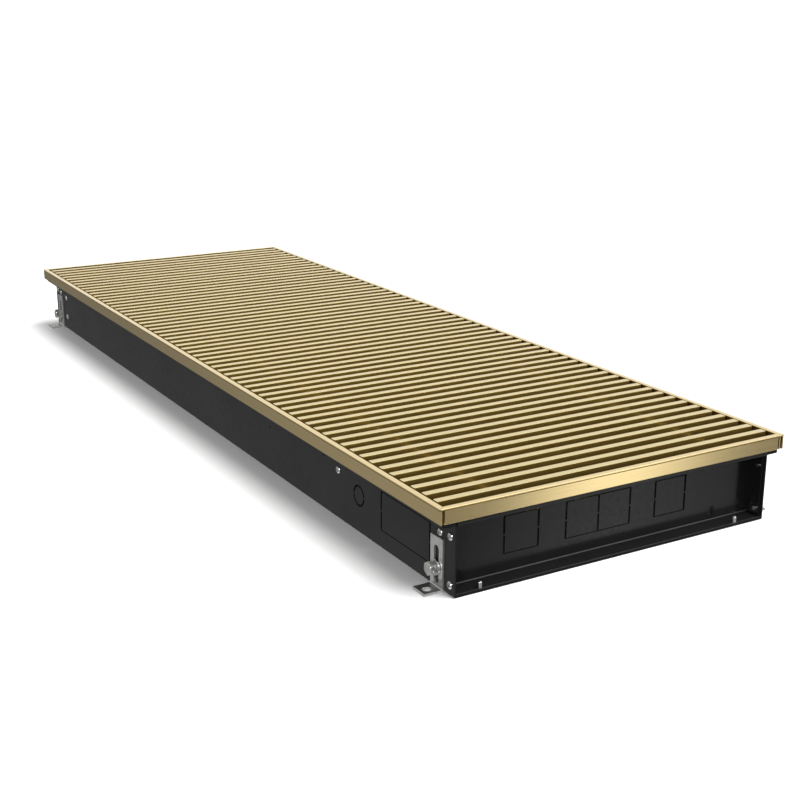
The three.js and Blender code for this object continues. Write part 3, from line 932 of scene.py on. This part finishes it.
piece(
    "fin_pack",
    fins,
    FIN,
    HOUSING,
    ["coil_fin_pack"],
    smooth=25,
)

path = [(406.0, TUBE_Y[0], TUBE_Z), (380.0, TUBE_Y[0], TUBE_Z), (-400.0, TUBE_Y[0], TUBE_Z)]
for k in range(25):
    w = -math.pi / 2 - math.pi * k / 24
    path.append((-412 + 25 * math.cos(w), COIL_Y + 25 * math.sin(w), TUBE_Z))
path += [(-400.0, TUBE_Y[1], TUBE_Z), (380.0, TUBE_Y[1], TUBE_Z), (406.0, TUBE_Y[1], TUBE_Z)]
piece(
    "hairpin_tube",
    sweep(path, 7.5, 32),
    COPPER,
    HOUSING,
    ["coil_hairpin_tube"],
)

AF = 13.2 * math.cos(math.pi / 6)
union_profile = [(0, 7.7), (0, 9.6), (0.6, 10.4), (8.0, 10.4), (8.0, 11.8, AF), (8.9, 13.2, AF)]
union_profile += [(29.1, 13.2, AF), (30.0, 11.9, AF), (30.0, 9.9), (29.3, 9.2)]
thread = 29.0
while thread > 14.2:
    union_profile += [(thread, 9.25), (thread - 0.45, 8.7), (thread - 0.9, 8.7)]
    thread -= 1.35
union_profile += [(13.4, 9.25), (13.0, 9.25), (13.0, 6.0), (9.0, 6.0), (9.0, 7.7)]
for name, y in (("supply", TUBE_Y[0]), ("return", TUBE_Y[1])):
    body_shape = revolve(union_profile, 96, closed=True)
    # Local X points down once the piece is turned, so a flat of the hexagon is on top.
    piece(
        "union_" + name,
        body_shape.turned(to_x).moved(397.0, y, TUBE_Z),
        BRASS,
        HOUSING,
        ["coil_union_" + name],
        smooth=30,
    )
    piece(
        "solder_ring_" + name,
        revolve([(0, 7.5), (0, 8.3), (0.8, 8.9), (1.5, 8.8), (1.5, 7.5)], 40, closed=True)
        .turned(to_x)
        .moved(395.8, y, TUBE_Z),
        BRIGHT,
        HOUSING,
    )

VALVE = (416.0, TUBE_Y[1], TUBE_Z + AF + 0.3)
VALVE_AF = 6.2 * math.cos(math.pi / 6)
piece(
    "vent_body",
    revolve(
        [
            (0, 0),
            (0, 5.0),
            (0, 5.6, VALVE_AF),
            (0.5, 6.2, VALVE_AF),
            (3.0, 6.2, VALVE_AF),
            (3.5, 5.6, VALVE_AF),
            (3.5, 5.0),
            (7.6, 5.0),
            (8.0, 4.6),
            (8.0, 3.2),
            (7.7, 2.9),
            (2.0, 2.9),
            (2.0, 0),
        ],
        72,
    ).moved(*VALVE),
    BRASS,
    HOUSING,
    ["bleed_valve_body"],
    smooth=30,
)
key = rounded(-2.2, 2.2, -2.2, 2.2, 8.3, 10.8, 0.3, 2)
piece(
    "vent_screw",
    together(
        [
            revolve([(2.5, 0), (2.5, 1.9), (2.9, 2.3), (8.5, 2.3), (8.5, 0)], 32),
            key,
        ]
    ).moved(*VALVE),
    BRASS,
    "bleed_screw",
    ["bleed_valve_screw"],
)

for end, sx in (("front", 1), ("rear", -1)):
    face = 370.5 if sx > 0 else -390.5
    outline = fillet(
        [
            (face, 54.0),
            (face, 3.3),
            (face + sx * 14, 3.3),
            (face + sx * 14, 4.8),
            (face + sx * 1.5, 4.8),
            (face + sx * 1.5, 54.0),
        ],
        [0.2, 1.6, 0.2, 0.2, 0.6, 0.2],
        4,
    )
    holes = together(
        [prism("x", disc(y, TUBE_Z, 8.3, 40), face - 4, face + 4) for y in TUBE_Y]
    )
    piece(
        "coil_bracket_" + end,
        prism("y", outline, COIL_Y - 60, COIL_Y + 60),
        GALV,
        HOUSING,
        ["coil_end_plate_" + end],
        cuts=[holes],
    )
    for k, y in enumerate(TUBE_Y):
        piece(
            f"tube_grommet_{end}_{k}",
            revolve(
                [(-1.2, 7.55), (-1.2, 9.6), (-0.2, 9.8), (-0.2, 8.2), (1.7, 8.2), (1.7, 9.8), (2.7, 9.6), (2.7, 7.55)],
                40,
                closed=True,
            )
            .turned(to_x)
            .moved(face if sx > 0 else face - 1.5, y, TUBE_Z),
            RUBBER,
            HOUSING,
        )
    low, high = sorted((face - sx * 1, face + sx * 15))
    piece(
        "coil_pad_" + end,
        rounded(low, high, COIL_Y - 62, COIL_Y + 62, 1.5, 3.0, 0.3, 2),
        RUBBER,
        HOUSING,
        ["coil_rubber_pad_" + end],
    )
    for k, y in enumerate((COIL_Y - 48, COIL_Y, COIL_Y + 48)):
        piece(
            f"coil_screw_{end}_{k}",
            revolve([(0, 0), (0, 3.2), (0.5, 3.4), (1.4, 2.8), (1.9, 1.6), (1.9, 0.9), (1.0, 0.8), (1.0, 0)], 28)
            .moved(face + sx * 8.5, y, 4.8),
            BRIGHT,
            HOUSING,
        )

for side, sy in (("left", -1), ("right", 1)):
    a, b = -393.3, 373.3

    def out(d):
        return COIL_Y + sy * d

    channel = fillet(
        [(out(61.5), 14), (out(62.5), 14), (out(62.5), 51), (out(70), 51), (out(70), 52), (out(61.5), 52)],
        [0.2, 0.2, 0.5, 0.2, 0.2, 0.9],
        4,
    )
    hooks = [
        prism(
            "x",
            [(out(52), 14), (out(61.8), 14), (out(61.8), 52), (out(52), 52)],
            p,
            p + 1,
        )
        for p in (a, b - 1)
    ]
    piece(
        "guide_sheet_" + side,
        together([prism("x", channel, a, b)] + hooks),
        GALV,
        HOUSING,
        ["air_guide_" + side],
    )

# ------------------------------------------------------------------ cross braces
brace_section = fillet(
    [(-9, 57.5), (-9, 53.5), (-8, 53.5), (-8, 56.3), (8, 56.3), (8, 53.5), (9, 53.5), (9, 57.5)],
    [1.3, 0.1, 0.1, 0.4, 0.4, 0.1, 0.1, 1.3],
    4,
)
for end, x in (("front", BRACE_X), ("rear", -BRACE_X)):
    tabs = []
    for sy in (-1, 1):
        tabs.append(
            rounded(-9, 9, min(sy * 152.3, sy * 153.5), max(sy * 152.3, sy * 153.5), 37, 57.4, 0.2, 1)
        )
        tabs.append(
            rounded(-9, 9, min(sy * 147.8, sy * 153.3), max(sy * 147.8, sy * 153.3), 56.35, 57.45, 0.15, 1)
        )
    piece(
        "brace_" + end,
        together([prism("y", brace_section, -148, 148)] + tabs).moved(x=x),
        COAT,
        HOUSING,
        ["cross_brace_" + end],
    )

# ------------------------------------------------------------------ rivets
blind = [
    (-4.0, 0),
    (-4.0, 1.6),
    (0.05, 1.6),
    (0.05, 3.0),
    (0.2, 3.2),
    (0.7, 2.9),
    (1.1, 2.3),
    (1.35, 1.5),
    (1.3, 0.95),
    (1.1, 0.85),
    (0.2, 0.85),
    (0.1, 0),
]


def wall_rivet(name, x, z, sy, nodes=()):
    turn = Matrix.Rotation(math.pi / 2 * (-1 if sy > 0 else 1), 4, "X")
    piece(
        name,
        revolve(blind, 32).turned(turn).moved(x, sy * (WALL_OUT + 0.05), z),
        RIVET,
        HOUSING,
        nodes,
    )


for at, sx, sy in CORNERS:
    for which, (x, z) in SIDE_RIVETS.items():
        wall_rivet(f"rivet_{at}_{which}", sx * x, z, sy, [f"wall_rivet_{at}_{which}"])
for end, x in (("front", BRACE_X), ("rear", -BRACE_X)):
    for side, sy in (("left", -1), ("right", 1)):
        if (end, side) != ("rear", "left"):
            wall_rivet(f"brace_rivet_{end}_{side}", x, 43.5, sy)
for k, z in enumerate((42.5, 17.0)):
    wall_rivet(f"rear_left_extra_rivet_{k}", -452.5, z, -1)

pin = [(0.1, 0), (0.1, 1.75), (6.6, 1.75), (7.2, 1.6), (7.6, 1.2), (7.8, 0.6), (7.8, 0)]
for end, sx in (("front", 1), ("rear", -1)):
    for mark, y in (("a", -131), ("b", 125)):
        piece(
            f"floor_pin_{end}_{mark}",
            revolve(pin, 28).moved(sx * 494.6, sx * y, 0),
            BRIGHT,
            HOUSING,
            [f"floor_rivet_{end}_{mark}"],
        )

# ------------------------------------------------------------------ feet
leg = fillet(
    [(-0.3, 0), (-0.3, 41.8), (-2.2, 41.8), (-2.2, 1.9), (-17.6, 1.9), (-17.6, 0)],
    [2.4, 0.2, 0.2, 0.7, 0.2, 0.2],
    5,
)
slot_outline = [
    (3.35 * math.cos(math.pi * k / 10), 31.65 + 3.35 * math.sin(math.pi * k / 10))
    for k in range(11)
] + [
    (-3.35 * math.cos(math.pi * k / 10), 7.95 - 3.35 * math.sin(math.pi * k / 10))
    for k in range(11)
]
foot_cuts = together(
    [prism("y", slot_outline, -6, 3), prism("z", disc(1.2, -11.2, 3.6, 32), -3, 5)]
)
HEX = 5.0
bolt = [
    (-9.0, 0),
    (-9.0, 2.6),
]
t = -8.6
while t < 4.2:
    bolt += [(t, 3.0), (t + 0.5, 2.6)]
    t += 1.0
bolt += [(4.6, 2.6), (4.6, 3.2), (6.15, 3.2), (6.15, 5.0, HEX), (6.4, 5.77, HEX)]
bolt += [(9.5, 5.77, HEX), (9.85, 5.4, HEX), (10.1, 4.6, HEX), (10.1, 0)]
washer = [(2.5, 3.3), (2.5, 6.2), (2.7, 6.4), (3.9, 6.4), (4.1, 6.2), (4.1, 3.3)]
out_turn = Matrix.Rotation(math.pi / 2, 4, "X")
for at, sx, sy in CORNERS:
    side = Matrix.Identity(4) if sy < 0 else half_turn
    place = dict(x=sx * FOOT_X, y=sy * WALL_OUT)
    piece(
        "foot_" + at,
        prism("x", leg, -8.5, 8.5).turned(side).moved(**place),
        ZINC,
        "foot_" + at,
        ["foot_bracket_" + at],
        cuts=[foot_cuts.turned(side).moved(**place)],
        bevel=0.15,
        # Painted shade on the top of the foot plate.
        zones=[(ZINC_FOOT_PAINTED_SHADE, lambda n, c: n.z > 0.9 and c.z < 3)],
    )
    piece(
        "bolt_" + at,
        revolve(bolt, 72).turned(side @ out_turn).moved(z=BOLT_Z, **place),
        ZINC,
        "bolt_" + at,
        ["foot_bolt_" + at],
        smooth=30,
    )
    piece(
        "washer_" + at,
        revolve(washer, 48, closed=True).turned(side @ out_turn).moved(z=BOLT_Z, **place),
        BRIGHT,
        HOUSING,
        ["foot_washer_" + at],
    )

# ------------------------------------------------------------------ floor, light and camera
floor_mesh = bpy.data.meshes.new("floor")
R = 500.0
floor_mesh.from_pydata(
    [(-R, -R, -0.0002), (R, -R, -0.0002), (R, R, -0.0002), (-R, R, -0.0002)],
    [],
    [(0, 1, 2, 3)],
)
floor = bpy.data.objects.new("floor", floor_mesh)
bpy.context.scene.collection.objects.link(floor)
g = Graph("pale_floor")
g.set(
    "Base Color",
    g.colours(g.noise(3, 2), [(0.3, (0.62, 0.62, 0.62)), (0.7, (0.64, 0.64, 0.64))]),
)
g.set("Roughness", 0.9)
g.set("Specular IOR Level", 0.1)
clear = g.add("ShaderNodeBsdfTransparent")
mix = g.add("ShaderNodeMixShader")
g.link(g.add("ShaderNodeNewGeometry").outputs["Backfacing"], mix.inputs["Fac"])
g.link(g.bsdf.outputs["BSDF"], mix.inputs[1])
g.link(clear.outputs["BSDF"], mix.inputs[2])
g.link(mix.outputs["Shader"], g.out.inputs["Surface"])
floor_mesh.materials.append(g.material)
floor.visible_glossy = False
floor.visible_diffuse = False
floor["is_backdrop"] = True

world = bpy.data.worlds.new("studio")
bpy.context.scene.world = world
world.use_nodes = True
tree = world.node_tree
tree.nodes.clear()
output = tree.nodes.new("ShaderNodeOutputWorld")
background = tree.nodes.new("ShaderNodeBackground")
tree.links.new(background.outputs["Background"], output.inputs["Surface"])
direction = tree.nodes.new("ShaderNodeTexCoord").outputs["Generated"]
split = tree.nodes.new("ShaderNodeSeparateXYZ")
tree.links.new(direction, split.inputs["Vector"])
def ramp_of(value, start, end, low, high):
    node = tree.nodes.new("ShaderNodeMapRange")
    node.interpolation_type = "SMOOTHSTEP"
    node.inputs["From Min"].default_value = start
    node.inputs["From Max"].default_value = end
    node.inputs["To Min"].default_value = low
    node.inputs["To Max"].default_value = high
    tree.links.new(value, node.inputs["Value"])
    return node.outputs["Result"]


def joined(operation, a, b):
    node = tree.nodes.new("ShaderNodeMath")
    node.operation = operation
    tree.links.new(a, node.inputs[0])
    if isinstance(b, (int, float)):
        node.inputs[1].default_value = b
    else:
        tree.links.new(b, node.inputs[1])
    return node.outputs["Value"]


# A room that is bright above, dimmer to the left, dark low down and bright right below.
above = joined(
    "MULTIPLY",
    ramp_of(split.outputs["Z"], -0.05, -0.004, 0.0, 0.84),
    ramp_of(split.outputs["Z"], 0.2, 0.42, 1.0, 0.95),
)
side_light = ramp_of(split.outputs["Y"], -0.6, 0.35, 0.14, 1.0)
below = ramp_of(split.outputs["Z"], -0.5, -0.85, 0.19, 0.8)
left_fill = ramp_of(split.outputs["Y"], -0.25, -0.53, 0.0, 0.155)
front_fill = ramp_of(split.outputs["X"], 0.1, 0.6, 0.0, 0.05)
# A tall soft card low in front of the connection end.
turned = joined(
    "ABSOLUTE",
    joined(
        "SUBTRACT",
        joined("ARCTAN2", split.outputs["Y"], split.outputs["X"]),
        math.radians(40.25),
    ),
    0.0,
)
card = joined(
    "MULTIPLY",
    ramp_of(turned, math.radians(5.5), math.radians(0.4), 0.0, 1.36),
    ramp_of(split.outputs["Z"], -0.08, -0.2, 0.0, 1.0),
)
total = joined("MULTIPLY", above, side_light)
for light in (below, left_fill, front_fill, card):
    total = joined("ADD", total, light)
tree.links.new(total, background.inputs["Strength"])
background.inputs["Color"].default_value = (1, 1, 1, 1)

sun_data = bpy.data.lights.new("soft_key", "SUN")
sun_data.energy = 6.2
sun_data.angle = math.radians(44)
sun = bpy.data.objects.new("soft_key", sun_data)
bpy.context.scene.collection.objects.link(sun)
sun.rotation_mode = "QUATERNION"
sun.rotation_quaternion = Vector((-0.32, -0.39, -1.0)).to_track_quat("-Z", "Y")
sun.visible_glossy = False

# Seen only as a shine along the rounded edges.
edge_data = bpy.data.lights.new("edge_shine", "SUN")
edge_data.energy = 0.8
edge_data.angle = math.radians(32)
edge = bpy.data.objects.new("edge_shine", edge_data)
bpy.context.scene.collection.objects.link(edge)
edge.rotation_mode = "QUATERNION"
edge.rotation_quaternion = Vector((-0.2, -0.5, -0.85)).to_track_quat("-Z", "Y")
edge.visible_diffuse = False

spark_data = bpy.data.lights.new("small_key", "SUN")
spark_data.energy = 1.5
spark_data.angle = math.radians(6)
spark = bpy.data.objects.new("small_key", spark_data)
bpy.context.scene.collection.objects.link(spark)
spark.rotation_mode = "QUATERNION"
spark.rotation_quaternion = Vector((-0.6, 0.7, -0.35)).to_track_quat("-Z", "Y")

camera_data = bpy.data.cameras.new("camera")
camera_data.lens, camera_data.sensor_width, camera_data.sensor_fit = 59.42, 36.0, "HORIZONTAL"
camera_data.clip_start, camera_data.clip_end = 0.01, 1500
camera = bpy.data.objects.new("camera", camera_data)
bpy.context.scene.collection.objects.link(camera)
azimuth, down, roll = math.radians(149.58), math.radians(17.004), math.radians(0.132)
forward = Vector(
    (
        math.cos(down) * math.cos(azimuth),
        math.cos(down) * math.sin(azimuth),
        -math.sin(down),
    )
)
right = forward.cross(Vector((0, 0, 1))).normalized()
up = right.cross(forward)
right2 = right * math.cos(roll) + up * math.sin(roll)
up2 = up * math.cos(roll) - right * math.sin(roll)
camera.matrix_world = Matrix(
    (
        (right2.x, up2.x, -forward.x, 1.2411),
        (right2.y, up2.y, -forward.y, -0.6387),
        (right2.z, up2.z, -forward.z, 0.4240),
        (0, 0, 0, 1),
    )
)
bpy.context.scene.camera = camera
bpy.context.scene.view_settings.view_transform = "Standard"

bpy.context.view_layer.update()
low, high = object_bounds()
